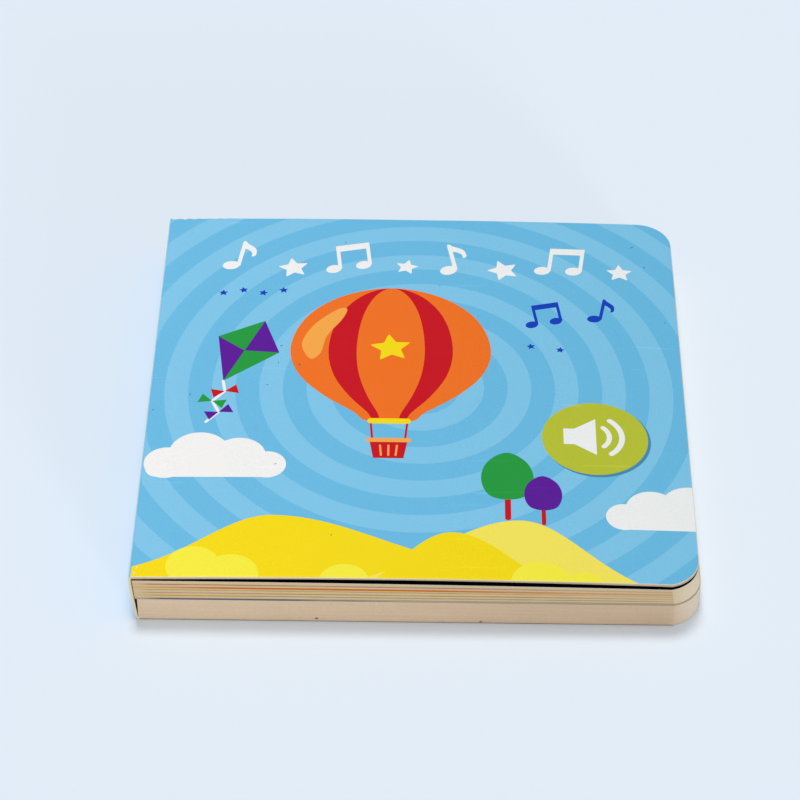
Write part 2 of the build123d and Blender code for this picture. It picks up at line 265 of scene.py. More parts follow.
def bar(x0, y0, x1, y1, w, n=8):
    """A thick line with round ends."""
    a = math.atan2(y1 - y0, x1 - x0)
    out = []
    for i in range(n + 1):
        b = a - math.pi / 2 + math.pi * i / n
        out.append((x1 + w / 2 * math.cos(b), y1 + w / 2 * math.sin(b)))
    for i in range(n + 1):
        b = a + math.pi / 2 + math.pi * i / n
        out.append((x0 + w / 2 * math.cos(b), y0 + w / 2 * math.sin(b)))
    return out


def arc_band(x, y, r, w, a0, a1, n=20):
    """A piece of a ring with round ends."""
    out = []
    for i in range(n + 1):
        a = math.radians(a0 + (a1 - a0) * i / n)
        out.append((x + (r + w / 2) * math.cos(a), y + (r + w / 2) * math.sin(a)))
    e = math.radians(a1)
    for i in range(1, 6):
        b = e + math.pi * i / 6
        out.append((x + r * math.cos(e) + w / 2 * math.cos(b), y + r * math.sin(e) + w / 2 * math.sin(b)))
    for i in range(n, -1, -1):
        a = math.radians(a0 + (a1 - a0) * i / n)
        out.append((x + (r - w / 2) * math.cos(a), y + (r - w / 2) * math.sin(a)))
    e = math.radians(a0)
    for i in range(1, 6):
        b = e + math.pi + math.pi * i / 6
        out.append((x + r * math.cos(e) + w / 2 * math.cos(b), y + r * math.sin(e) + w / 2 * math.sin(b)))
    return out


def star(points=5, inner=0.48, n_round=3):
    raw = []
    for i in range(points * 2):
        r = 1.0 if i % 2 == 0 else inner
        a = math.pi / 2 + math.pi * i / points
        raw.append((r * math.cos(a), r * math.sin(a)))
    # soften each tip
    out = []
    k = len(raw)
    for i, p in enumerate(raw):
        a, b = raw[i - 1], raw[(i + 1) % k]
        s = 0.16 if i % 2 == 0 else 0.10
        p0 = (p[0] + (a[0] - p[0]) * s, p[1] + (a[1] - p[1]) * s)
        p1 = (p[0] + (b[0] - p[0]) * s, p[1] + (b[1] - p[1]) * s)
        for j in range(n_round + 1):
            t = j / n_round
            out.append(tuple((1 - t) ** 2 * p0[c] + 2 * t * (1 - t) * p[c] + t * t * p1[c] for c in (0, 1)))
    return out


STAR = star()


# ------------------------------------------------------------------ materials
def lin(rgb):
    """sRGB 0-255 to linear."""
    out = []
    for v in rgb:
        v /= 255
        out.append(v / 12.92 if v <= 0.04045 else ((v + 0.055) / 1.055) ** 2.4)
    return (*out, 1.0)


class Mat:
    def __init__(self, name):
        self.m = bpy.data.materials.new(name)
        self.m.use_nodes = True
        nt = self.m.node_tree
        nt.nodes.clear()
        self.nt = nt
        self.out = nt.nodes.new("ShaderNodeOutputMaterial")
        self.bs = nt.nodes.new("ShaderNodeBsdfPrincipled")
        nt.links.new(self.bs.outputs[0], self.out.inputs[0])
        self.co = nt.nodes.new("ShaderNodeTexCoord").outputs["Object"]

    def n(self, kind, **kw):
        nd = self.nt.nodes.new("ShaderNode" + kind)
        for k, v in kw.items():
            setattr(nd, k, v)
        return nd

    def link(self, a, b):
        self.nt.links.new(a, b)

    def mapped(self, scale=(1, 1, 1), turn=0.0, shift=(0, 0, 0)):
        mp = self.n("Mapping")
        mp.inputs["Scale"].default_value = scale
        mp.inputs["Rotation"].default_value = (0, 0, math.radians(turn))
        mp.inputs["Location"].default_value = shift
        self.link(self.co, mp.inputs["Vector"])
        return mp.outputs[0]

    def noise(self, scale, detail=3.0, rough=0.55, vec=None, dist=0.0):
        t = self.n("TexNoise")
        t.inputs["Scale"].default_value = scale
        t.inputs["Detail"].default_value = detail
        t.inputs["Roughness"].default_value = rough
        t.inputs["Distortion"].default_value = dist
        self.link(vec or self.co, t.inputs["Vector"])
        return t.outputs["Fac"]

    def ramp(self, fac, lo, hi, a=0.0, b=1.0):
        r = self.n("MapRange")
        r.inputs["From Min"].default_value = lo
        r.inputs["From Max"].default_value = hi
        r.inputs["To Min"].default_value = a
        r.inputs["To Max"].default_value = b
        self.link(fac, r.inputs["Value"])
        return r.outputs[0]

    def math(self, op, a, b=None, clamp=False):
        m = self.n("Math", operation=op, use_clamp=clamp)
        for i, v in enumerate((a, b)):
            if v is None:
                continue
            if isinstance(v, (int, float)):
                m.inputs[i].default_value = v
            else:
                self.link(v, m.inputs[i])
        return m.outputs[0]

    def mix(self, fac, a, b, blend="MIX"):
        m = self.n("Mix", data_type="RGBA", blend_type=blend)
        if isinstance(fac, (int, float)):
            m.inputs[0].default_value = fac
        else:
            self.link(fac, m.inputs[0])
        for i, v in ((6, a), (7, b)):
            if isinstance(v, tuple):
                m.inputs[i].default_value = v
            else:
                self.link(v, m.inputs[i])
        return m.outputs[2]

    def axis(self, which):
        s = self.n("SeparateXYZ")
        self.link(self.co, s.inputs[0])
        return s.outputs[which]

    def bump(self, height, strength, distance):
        b = self.n("Bump")
        b.inputs["Strength"].default_value = strength
        b.inputs["Distance"].default_value = distance
        self.link(height, b.inputs["Height"])
        if hasattr(self, "last_bump"):
            self.link(self.last_bump, b.inputs["Normal"])
        self.last_bump = b.outputs[0]
        self.link(b.outputs[0], self.bs.inputs["Normal"])

    def color(self, c):
        if isinstance(c, tuple):
            self.bs.inputs["Base Color"].default_value = c
        else:
            self.link(c, self.bs.inputs["Base Color"])

    def rough(self, r):
        if isinstance(r, (int, float)):
            self.bs.inputs["Roughness"].default_value = r
        else:
            self.link(r, self.bs.inputs["Roughness"])

    def set(self, **kw):
        for k, v in kw.items():
            self.bs.inputs[k.replace("_", " ")].default_value = v


def laminate(name, rgb, grain=0.03, linen=True):
    """Printed card under a satin laminate: ink mottling, scuffs, a fine pressed weave and the sheet's slow waviness."""
    m = Mat(name)
    c = lin(rgb)
    fine = m.noise(2600, 2, 0.6)
    slow = m.noise(9, 2, 0.5)
    dark = tuple(v * (1 - grain * 2.2) for v in c[:3]) + (1,)
    light = tuple(min(1, v * (1 + grain)) for v in c[:3]) + (1,)
    col = m.mix(m.ramp(fine, 0.34, 0.66), dark, light)
    col = m.mix(m.ramp(slow, 0.35, 0.7, 0.0, 0.10), col, tuple(min(1, v * 1.07) for v in c[:3]) + (1,))
    # painted shade: the print is darkened towards the fore edge, standing in for the light falling off away from the
    # spine side
    col = m.mix(m.ramp(m.axis(0), -0.09, 0.09, 0.0, 1.0), col, m.mix(1.0, col, (0.86, 0.90, 0.90, 1), "MULTIPLY"))
    # rubbed laminate: faint pale hairlines
    hair = m.noise(150, 2, 0.4, m.mapped((0.25, 3.4, 1), 24), 0.6)
    col = m.mix(m.ramp(hair, 0.70, 0.76, 0.0, 0.35), col, tuple(min(1, v * 1.18 + 0.004) for v in c[:3]) + (1,))
    m.color(col)
    m.rough(m.ramp(m.noise(60, 3, 0.6), 0.3, 0.7, 0.36, 0.50))
    if linen:
        w = m.n("TexWave", wave_type="BANDS", bands_direction="X")
        w.inputs["Scale"].default_value = 420
        w.inputs["Distortion"].default_value = 1.6
        w.inputs["Detail"].default_value = 1.0
        m.link(m.mapped((1, 1, 1), 38), w.inputs["Vector"])
        m.bump(w.outputs["Fac"], 0.05, 0.0001)
    m.bump(fine, 0.10, 0.00012)
    m.bump(slow, 0.12, 0.0012)
    m.set(Coat_Weight=0.03, Coat_Roughness=0.22, Specular_IOR_Level=0.12)
    return m.m


def cut_board(name, rgb, rgb2, streak=0.5, fibre=1.0, corner_painted_light=None):
    """The die-cut edge of laminated board: pressed fibres in layers."""
    m = Mat(name)
    a, b = lin(rgb), lin(rgb2)
    fibre_n = m.noise(900, 4, 0.65, m.mapped((1, 1, 5.0)))
    layer = m.noise(1500, 2, 0.5, m.mapped((0.02, 0.02, 1.0)))
    slow = m.noise(28, 3, 0.5)
    col = m.mix(m.ramp(fibre_n, 0.3, 0.7), tuple(v * 0.90 for v in a[:3]) + (1,), tuple(min(1, v * 1.07) for v in a[:3]) + (1,))
    col = m.mix(m.ramp(layer, 0.42, 0.62, 0.0, 0.35 * streak), col, tuple(v * 0.80 for v in b[:3]) + (1,))
    # painted shade: the edge darkens from rgb towards rgb2 along x, standing in for the light falling off towards the
    # fore edge
    col = m.mix(m.ramp(m.axis(0), -0.09, 0.085), col, m.mix(1.0, col, tuple(b[i] / max(a[i], 1e-4) for i in range(3)) + (1,), "MULTIPLY"))
    col = m.mix(m.ramp(slow, 0.45, 0.75, 0.0, 0.16), col, tuple(v * 0.72 for v in b[:3]) + (1,))
    if corner_painted_light:
        # painted light: the rounded corner's cut is lightened, for the light it catches from the front-right
        col = m.mix(m.ramp(m.axis(0), 0.0805, 0.0900, 0.0, 0.85), col, lin(corner_painted_light))
    m.color(col)
    m.rough(0.86)
    m.bump(fibre_n, 0.45 * fibre, 0.00012)
    m.bump(layer, 0.30 * fibre, 0.00010)
    m.set(Specular_IOR_Level=0.2)
    return m.m


def ink_line(name, ink, board, lo, hi, fade_lo, fade_hi, patch=60, second=None, at=0.0, blend=0.02, least=0.0, deep=1.0):
    """Ink of a printed face pressed over the cut edge: it comes and goes along the edge. second: the next ink along, which takes over at x = at."""
    m = Mat(name)
    i, b = lin(ink), lin(board)
    x = m.axis(0)
    k = m.math("MULTIPLY", m.ramp(x, lo, lo + fade_lo), m.ramp(x, hi, hi - fade_hi))
    k = m.math("MULTIPLY", k, m.ramp(m.noise(patch, 3, 0.6), 0.30, 0.52, 0.55 * deep, deep))
    k = m.math("MAXIMUM", k, least)
    fine = m.noise(1400, 2, 0.6)
    tone = i if second is None else m.mix(m.ramp(x, at - blend, at + blend), i, lin(second))
    tone = m.mix(m.ramp(fine, 0.3, 0.7, 0.0, 0.22), tone, tuple(v * 0.7 for v in i[:3]) + (1,))
    # painted shade: the bare board darkens towards the fore edge, for the light falling off there
    base = m.mix(m.ramp(x, -0.09, 0.085), b, tuple(v * k_ for v, k_ in zip(b[:3], (0.82, 0.78, 0.74))) + (1,))
    m.color(m.mix(k, base, tone))
    m.rough(0.8)
    m.bump(fine, 0.3, 0.0001)
    m.set(Specular_IOR_Level=0.2)
    return m.m


def plastic(name, rgb, rough=0.5, fine=900, strength=0.18, coat=0.0):
    m = Mat(name)
    c = lin(rgb)
    t = m.noise(fine, 3, 0.6)
    s = m.noise(40, 2, 0.5)
    m.color(m.mix(m.ramp(s, 0.3, 0.7), tuple(v * 0.93 for v in c[:3]) + (1,), tuple(min(1, v * 1.05) for v in c[:3]) + (1,)))
    m.rough(m.ramp(t, 0.3, 0.7, rough - 0.06, rough + 0.08))
    m.bump(t, strength, 0.00008)
    m.set(Coat_Weight=coat, Coat_Roughness=0.1)
    return m.m


def metal(name, rgb, rough=0.28, brushed=0.3):
    m = Mat(name)
    c = lin(rgb)
    t = m.noise(700, 3, 0.6, m.mapped((1, 9, 1)))
    m.color(m.mix(m.ramp(m.noise(90, 3, 0.5), 0.3, 0.7), tuple(v * 0.85 for v in c[:3]) + (1,), c))
    m.rough(m.ramp(t, 0.3, 0.7, rough - 0.08, rough + 0.12))
    m.bump(t, brushed, 0.00004)
    m.set(Metallic=1.0)
    return m.m


def circuit(name):
    m = Mat(name)
    c1, c2 = lin((18, 92, 52)), lin((30, 120, 66))
    v = m.n("TexBrick")
    v.inputs["Scale"].default_value = 120
    v.inputs["Color1"].default_value = c1
    v.inputs["Color2"].default_value = c1
    v.inputs["Mortar"].default_value = c2
    v.inputs["Mortar Size"].default_value = 0.03
    m.link(m.co, v.inputs["Vector"])
    m.color(v.outputs["Color"])
    m.rough(m.ramp(m.noise(500, 2, 0.5), 0.3, 0.7, 0.30, 0.42))
    m.bump(v.outputs["Fac"], 0.3, 0.00005)
    m.set(Coat_Weight=0.3, Coat_Roughness=0.2)
    return m.m


P = {
    "ring_light": laminate("print_ring_light", (131, 201, 236)),
    "ring_dark": laminate("print_ring_dark", (109, 190, 230)),
    "orange": laminate("print_orange", (248, 116, 28)),
    "pale_orange": laminate("print_pale_orange", (255, 171, 74)),
    "red": laminate("print_red", (206, 4, 26)),
    "yellow": laminate("print_yellow", (255, 223, 4)),
    "pale_yellow": laminate("print_pale_yellow", (255, 233, 92)),
    "bright_yellow": laminate("print_bright_yellow", (255, 241, 62)),
    "green": laminate("print_green", (33, 156, 62)),
    "purple": laminate("print_purple", (93, 16, 153)),
    "lime": laminate("print_lime", (191, 197, 52)),
    "white": laminate("print_white", (248, 246, 244)),
    "blue": laminate("print_dark_blue", (2, 62, 190)),
    "fold_pale": laminate("fold_crease_pale", (226, 234, 230)),
    # painted highlight along the fold's curve
    "fold_painted_highlight": laminate("fold_crease_painted_highlight", (166, 222, 250)),
    "worn_light": laminate("print_worn_light", (188, 222, 236)),
    "shade": laminate("print_shade", (72, 140, 176)),
    "scuff_dark": laminate("scuff_dark", (78, 92, 96)),
    "pale_scuff_and_glint": laminate("pale_scuff_and_glint", (226, 232, 232)),
    # painted shade: these dark navy grounds stand in for the shade in the gap under the cover
    "navy_painted_shade": laminate("print_night", (16, 24, 58)),
    "navy_painted_shade_deep": laminate("print_night_deep", (8, 16, 30)),
    "dusk": laminate("print_dusk", (40, 58, 122)),
}
# each cut edge's second colour is both its streak tone and its painted shade at the fore-edge end
worn_edge = cut_board("worn_print_edge", (238, 232, 218), (226, 218, 202), 0.3, 0.6)
card_edge = cut_board("cover_card_edge", (226, 200, 166), (210, 186, 156), 0.8)
sheet_edge = cut_board("glued_sheet_edge", (206, 186, 150), (194, 174, 144), 0.6)
glue_edge = cut_board("glue_line_edge", (150, 134, 108), (150, 136, 112), 0.2)
# LEAF_R: the leaves' edge tone at the fore-edge end, darker there as painted shade
LEAF, LEAF_R = (217, 190, 144), (207, 185, 150)
leaf_edge = cut_board("leaf_edge", LEAF, LEAF_R, 0.7)
# leaf_corner, corner_line and block_edge: the last colour is the painted light on the rounded corner
leaf_corner = cut_board("leaf_edge_corner", (217, 192, 148), (205, 184, 150), 0.15, 0.6, (226, 212, 190))
corner_line = cut_board("leaf_corner_line", (172, 160, 122), (164, 156, 120), 0.1, 0.5, (170, 164, 130))
block_edge = cut_board("block_edge", (222, 197, 166), (203, 177, 148), 0.35, 1.0, (222, 207, 188))
# painted shade: the dark brown line along the bottom where the book meets the floor; the nicks use this colour too
painted_shade_and_nicks = cut_board("block_bottom_edge", (134, 108, 86), (128, 100, 82), 0.3)
# painted shade: the card faces inside the gaps are coloured dark brown, not their cream, for the shade there
gap_painted_shade = cut_board("fold_inside_painted_shade", (96, 82, 66), (84, 72, 58), 0.2)
spine_cut = cut_board("spine_card_edge", (226, 214, 180), (222, 210, 176), 0.5)
INKS = [   # one line under each leaf, lowest first: the ink, how far it runs, how it fades
    ink_line("ink_ochre_grey", (190, 146, 74), LEAF, -0.089, 0.090, 0.006, 0.02, 90, (164, 148, 112), -0.05, 0.012, 0.25),
    ink_line("ink_pink_ochre", (188, 150, 118), LEAF, -0.089, 0.090, 0.006, 0.03, 60, (188, 148, 80), -0.05, 0.012, 0.25),
    ink_line("ink_olive", (176, 152, 94), LEAF, -0.089, 0.088, 0.006, 0.05, 50, None, 0.0, 0.02, 0.35),
    ink_line("ink_orange", (203, 108, 6), LEAF, -0.100, 0.110, 0.050, 0.130, 35, None, 0.0, 0.02, 0.34, 1.25),
    ink_line("ink_rose", (172, 126, 104), LEAF, -0.089, 0.088, 0.006, 0.070, 45, None, 0.0, 0.02, 0.30),
]
INK_T = (0.42, 0.50, 0.38, 0.74, 0.48)
seam_line = ink_line("ink_seam", (104, 102, 116), (200, 180, 150), -0.089, 0.010, 0.010, 0.050, 30, None, 0.0, 0.02, 0.28, 1.1)
seam_green = ink_line("ink_seam_green", (150, 146, 100), (204, 184, 146), -0.10, 0.2, 0.10, 0.01, 40, None, 0.0, 0.02, 0.0, 0.75)

# ------------------------------------------------------------------ the front cover's print: a made-up balloon scene
RING_C, RING_W, RING_PHASE, RING_SQUASH = (0.8, 0.2), 8.071, 0.247, 1.012


def rings(cx, cy, reach=160.0):
    out = []
    for k in range(int(reach / RING_W), -1, -1):
        r = (k + 1 - RING_PHASE) * RING_W
        out.append((disc(cx, cy, r / RING_SQUASH, r, n=120), P["ring_dark"] if k % 2 else P["ring_light"]))
    return out


def cloud(x, y, s, m, flip=1):
    lumps = [(-15, 1.5, 7.0), (-5, 6.0, 9.5), (7.5, 4.5, 8.5), (16.5, 0.8, 6.0)]
    out = [(disc(x + flip * a * s, y + b * s, r * s, n=48), m) for a, b, r in lumps]
    out.append((bar(x - 17.5 * s, y - 1.2 * s, x + 17.5 * s, y - 1.2 * s, 7.6 * s, 10), m))
    return out


def note(x, y, s, m, turn=0.0):
    def at(shape):
        return place(shape, x, y, s, turn)
    return [(at(disc(-0.28, -0.72, 0.36, 0.27, 18, n=32)), m), (at(bar(0.02, -0.66, 0.02, 0.86, 0.17)), m),
            (at(smooth([(-0.04, 0.94), (0.20, 0.78), (0.56, 0.50), (0.62, 0.10), (0.46, -0.02), (0.44, 0.22), (0.22, 0.42), (0.02, 0.50)], 5)), m)]


def note_pair(x, y, s, m, turn=0.0):
    def at(shape):
        return place(shape, x, y, s, turn)
    return [(at(disc(-0.78, -0.72, 0.34, 0.26, 18, n=32)), m), (at(disc(0.52, -0.56, 0.34, 0.26, 18, n=32)), m),
            (at(bar(-0.50, -0.66, -0.50, 0.70, 0.16)), m), (at(bar(0.80, -0.50, 0.80, 0.86, 0.16)), m),
            (at([(-0.58, 0.42), (0.88, 0.58), (0.88, 0.98), (-0.58, 0.82)]), m)]


def hill(x0, x1, base, height, mid, width, m, skew=0.0):
    pts = []
    n = 60
    for i in range(n + 1):
        x = x0 + (x1 - x0) * i / n
        u = (x - mid) / (width * (1 + skew * (1 if x > mid else -1)))
        pts.append((x, base + height * math.exp(-u * u)))
    return ([(x0, -150.0), (x1, -150.0)] + pts[::-1], m)


def star_at(x, y, s, m, turn=0.0):
    return (place(STAR, x, y, s, turn), m)


art = rings(*RING_C)
# clouds, left low and right high
art += cloud(-66, -40, 1.05, P["white"]) + cloud(84, -62, 1.0, P["white"], -1)
# hills: a long one from the left, a paler one on the right, bushes in front
art.append(hill(-99, 66, -90, 27, -46, 40, P["yellow"], 0.25))
art.append(hill(-30, 99, -98, 34, 34, 34, P["pale_yellow"], -0.15))
art.append(hill(-34, 70, -104, 34, 12, 27, P["yellow"], 0.1))
for bx, by, br in ((-70, -86, 8.5), (-58, -90, 9.0), (-22, -93, 8.0), (40, -92, 9.5), (53, -95, 8.0)):
    art.append((disc(bx, by, br, n=48), P["bright_yellow"]))
# round trees
for tx, ty, s, m in ((30, -46, 1.0, P["green"]), (41.5, -53, 0.72, P["purple"])):
    art.append((bar(tx, ty - 17 * s, tx, ty - 4 * s, 2.0 * s), P["red"]))
    art.append((place(smooth([(0, 14), (6.4, 9.5), (8.6, 1.5), (6.2, -6.2), (0, -8.4), (-6.2, -6.2), (-8.6, 1.5), (-6.4, 9.5)], 6), tx, ty, s), m))
# kite with a bowed tail
kx, ky, kt = -59.0, 18.0, -22.0
for quarter, m in (([(0, 0), (0, 17), (-11.5, 3.5)], P["green"]), ([(0, 0), (11.5, 3.5), (0, 17)], P["purple"]),
                   ([(0, 0), (-11.5, 3.5), (0, -17)], P["purple"]), ([(0, 0), (0, -17), (11.5, 3.5)], P["green"])):
    art.append((place(quarter, kx, ky, 1, kt), m))
tail_pts = [(-6.4, -15.8), (-5.5, -21), (-9.5, -26), (-7.0, -31.5), (-11.0, -36.5)]
for a, b in zip(tail_pts, tail_pts[1:]):
    art.append((bar(kx + a[0], ky + a[1], kx + b[0], ky + b[1], 1.0, 4), P["white"]))
for (bx, by), m, t in ((tail_pts[1], P["red"], 15), (tail_pts[2], P["green"], -20), (tail_pts[3], P["purple"], 25)):
    for side in (1, -1):
        art.append((place([(0, 0), (side * 4.4, 2.3), (side * 4.4, -2.3)], kx + bx, ky + by, 1, t), m))
# balloon
gx, gy = -9.0, 18.0
half = [(34.0, 0.0), (32.6, 9.5), (28.0, 19.5), (20.0, 28.0), (9.5, 33.0), (-2.0, 34.2), (-13.0, 30.5), (-23.0, 22.0), (-31.0, 12.0), (-35.5, 7.2)]
ctrl = [(w, y) for y, w in half]
curve = smooth(ctrl + [(-w, y) for w, y in reversed(ctrl[1:])], 7)
right_side = sorted([(q[1], q[0]) for q in curve if q[0] >= 0], reverse=True)


def width_at(y):
    best = [q for q in right_side]
    for (y0, w0), (y1, w1) in zip(best, best[1:]):
        if y0 >= y >= y1 and y0 > y1:
            t = (y0 - y) / (y0 - y1)
            return w0 + (w1 - w0) * t
    return 0.0


top_y, low_y = right_side[0][0], -35.5
levels = [low_y + (top_y - low_y) * (0.5 - 0.5 * math.cos(math.pi * i / 36)) for i in range(37)]


def gore(a, b):
    up = [(gx + a * width_at(y), gy + y) for y in levels]
    down = [(gx + b * width_at(y), gy + y) for y in reversed(levels)]
    return up + down


art += [(bar(gx + s * 6.2, gy - 34.5, gx + s * 5.4, gy - 45.0, 0.75, 4), P["red"]) for s in (-1, 1)]
art.append((gore(-1.0, 1.0), P["orange"]))
art.append((gore(-0.62, -0.34), P["red"]))
art.append((gore(0.34, 0.62), P["red"]))
art.append((smooth([(gx - 30.5, gy + 4), (gx - 26.5, gy + 14), (gx - 19, gy + 22), (gx - 15.5, gy + 22.5), (gx - 17, gy + 17), (gx - 22, gy + 8), (gx - 24, gy - 1), (gx - 27.5, gy - 4)], 6), P["pale_orange"]))
art.append((bar(gx - 6.0, gy - 35.4, gx + 6.0, gy - 35.4, 2.6, 6), P["yellow"]))
art.append((place([(-6.4, 4.4), (-5.0, -4.6), (5.0, -4.6), (6.4, 4.4)], gx, gy - 49.0), P["red"]))
art.append((bar(gx - 6.6, gy - 44.8, gx + 6.6, gy - 44.8, 2.0, 6), P["pale_orange"]))
for s in (-2.8, 0.0, 2.8):
    art.append((bar(gx + s, gy - 47.4, gx + s * 0.86, gy - 52.2, 0.7, 4), P["pale_orange"]))
art += [star_at(gx, gy + 2.0, 7.4, P["yellow"], 6)]
# a white border of stars and notes across the top
row = [("n", -63, 70, 8.4, -8), ("s", -44, 63, 5.6, 10), ("p", -24, 69, 8.2, 6), ("s", -4, 64, 4.2, -12), ("n", 12, 69, 8.6, 10),
       ("s", 30, 63, 5.8, 20), ("p", 51, 68.5, 8.4, -7), ("s", 71, 63, 4.8, 0)]
for kind, x, y, s, t in row:
    if kind == "s":
        art.append(star_at(x, y, s, P["white"], t))
    elif kind == "n":
        art += note(x, y, s, P["white"], t)
    else:
        art += note_pair(x, y, s, P["white"], t)
# dark blue, right and small on the left
art += note_pair(44, 39, 6.6, P["blue"], 8) + note(64, 42, 6.8, P["blue"], -10)
for x, y, s, t in ((-68, 49, 1.7, 0), (-61, 50.5, 1.7, 12), (-54, 49, 1.7, -10), (-47, 50.5, 1.7, 6), (39, 22, 1.6, 10), (49, 20.5, 1.6, -8)):
    art.append(star_at(x, y, s, P["blue"], t))
# the press-for-sound badge
dx, dy, dr = 59.3, -24.1, 17.6
art.append((disc(dx + 0.75, dy - 0.95, dr + 0.15), P["shade"]))
art.append((disc(dx, dy, dr), P["lime"]))
art.append((place([(-10.4, -3.0), (-6.4, -3.0), (-6.4, 4.6), (-10.4, 4.6)], dx, dy), P["white"]))
art.append((place([(-6.8, -3.0), (0.4, -8.0), (0.4, 9.6), (-6.8, 4.6)], dx, dy), P["white"]))
art.append((arc_band(dx - 1.6, dy + 0.8, 6.4, 1.7, -46, 46), P["white"]))
art.append((arc_band(dx - 1.6, dy + 0.8, 10.6, 1.9, -50, 50), P["white"]))
# scuffs and specks
random.seed(7)
SCUFFS = [(-26.0, 77.4, 0.45), (-46.5, 20.6, 0.5), (-39.9, 10.7, 0.6), (-50.4, 0.3, 0.4), (-47.1, 11.7, 0.35), (-76.1, -4.7, 0.5), (7.7, 53.8, 0.35),
          (80.0, 66.7, 0.45), (15.5, 86.1, 0.35), (85.8, 36.5, 0.4), (-88.0, -12.5, 0.4), (-45.9, -38.9, 0.4), (-26.6, -72.0, 0.4)]
for x, y, s in SCUFFS:
    art.append((place(smooth([(-1, -0.2), (-0.3, -0.42), (0.5, -0.3), (1.1, 0.05), (0.4, 0.35), (-0.5, 0.28)], 4), x, y, s, random.uniform(0, 180)), P["scuff_dark"]))
art.append((place(bar(-0.5, 0, 0.5, 0.03, 0.17, 4), 76.2, 77.9, 1.5, 35), P["scuff_dark"]))
# pale marks on the creased laminate at the tail end of the fold: real creases, with their glint painted in
for x, y, ln, t in ((-87.5, -87.0, 1.2, 68), (-88.0, -89.6, 1.0, 80)):
    art.append((place(bar(-0.5, 0, 0.5, 0.04, 0.16, 4), x, y, ln, t), P["pale_scuff_and_glint"]))
# the head edge is rubbed white near the spine, and pale in a thin line further along
rub = [(-89.03, HALF - 0.1)]
for i in range(25):
    x = -89.02 + 23.5 * i / 24
    rub.append((x, HALF - 0.10 - (0.50 + 0.28 * math.sin(i * 1.7) + 0.15 * math.sin(i * 4.1)) * (1 - i / 26)))
rub.append((-65.0, HALF - 0.1))
art.append((rub, P["pale_scuff_and_glint"]))
art.append(([(-66.0, HALF - 0.1), (-66.0, HALF - 0.32), (20.0, HALF - 0.30), (60.0, HALF - 0.16), (60.0, HALF - 0.1)], P["worn_light"]))

EDGE_IN = 0.12
top_edge = [(x, y) for x, y, _ in outline(COVER_LEFT, EDGE_IN)]
front_print = lay_print(top_edge, P["ring_dark"], art, grid=8.0)

# inside of the cover and the first leaf's face: one moon-and-stars scene across both, on a dark navy ground that is
# painted shade for the gap under the cover
inner_art = [hill(-99, 99, -84, 26, -30, 60, P["navy_painted_shade_deep"])]
inner_art += [(disc(34, 34, 19, n=72), P["pale_yellow"]), (disc(41, 40, 16.5, n=72), P["navy_painted_shade"])]
for x, y, s, t in ((-60, 62, 4.5, 10), (-30, 40, 3.2, -8), (-66, 10, 3.0, 16), (4, 70, 3.6, -12), (66, 66, 3.0, 5), (-8, 8, 2.4, 0), (70, -2, 3.4, 14), (-44, -14, 2.4, 9), (20, -20, 3.0, 4)):
    inner_art.append(star_at(x, y, s, P["white"], t))
inner_art += cloud(-36, -42, 0.8, P["dusk"]) + cloud(50, -34, 0.6, P["dusk"], -1)
inner_print = lay_print(top_edge, P["navy_painted_shade"], inner_art, grid=8.0)

# the leaf's dark navy ground along the tail is painted shade for the gap under the cover
leaf_art = [hill(-99, 99, -80, 34, 24, 62, P["dusk"]), hill(-99, 99, -88, 26, -44, 54, P["navy_painted_shade_deep"]), (bar(-120, -98, 120, -98, 34), P["navy_painted_shade_deep"])]
leaf_art += cloud(-44, 60, 1.0, P["dusk"]) + cloud(40, 72, 0.7, P["dusk"], -1)
for tx, ty, s, m in ((-20, -10, 1.9, P["green"]), (14, -20, 1.4, P["purple"]), (-54, -30, 1.5, P["green"])):
    leaf_art.append((bar(tx, ty - 17 * s, tx, ty - 4 * s, 1.6 * s), P["red"]))
    leaf_art.append((place(smooth([(0, 14), (6.4, 9.5), (8.6, 1.5), (6.2, -6.2), (0, -8.4), (-6.2, -6.2), (-8.6, 1.5), (-6.4, 9.5)], 6), tx, ty, s), m))
for x, y, s, t in ((-70, 30, 3.5, 10), (-14, 44, 4.4, -8), (16, 26, 2.6, 16), (58, 34, 4.0, -12), (70, 8, 2.6, 5), (-40, 20, 2.4, 0)):
    leaf_art.append(star_at(x, y, s, P["pale_yellow"], t))
leaf_art += [(disc(56, -30, 8.5, n=48), P["white"]), (disc(56, -30, 6.8, n=48), P["lime"])]
leaf_art += [(arc_band(54.2, -30, 3.4, 1.0, -46, 46, 10), P["white"]), (disc(52.6, -30, 1.3, n=20), P["white"])]
leaf_print = lay_print([(x, y) for x, y, _ in outline(-88.86, 0.10, LEAF_OUT_TOP)], P["navy_painted_shade"], leaf_art, grid=8.0)

# ------------------------------------------------------------------ front cover
def wavy(x, y, amount, seed):
    return amount * noise.noise(Vector((x * 0.09 + seed, y * 0.09, seed * 1.7)))


def ring(left, inset, zf, seed=0.0, amount=0.0, out=0.0):
    pts = outline(left, inset, out)
    out = []
    for x, y, _ in pts:
        k = wavy(x, y, amount, seed)
        cx, cy = 0.0, 0.0
        out.append((x - k * (1 if x > FORE - 14 else 0), y - k * (1 if y > HALF - 8 else -1 if y < -HALF + 8 else 0), zf(x, y)))
    return out


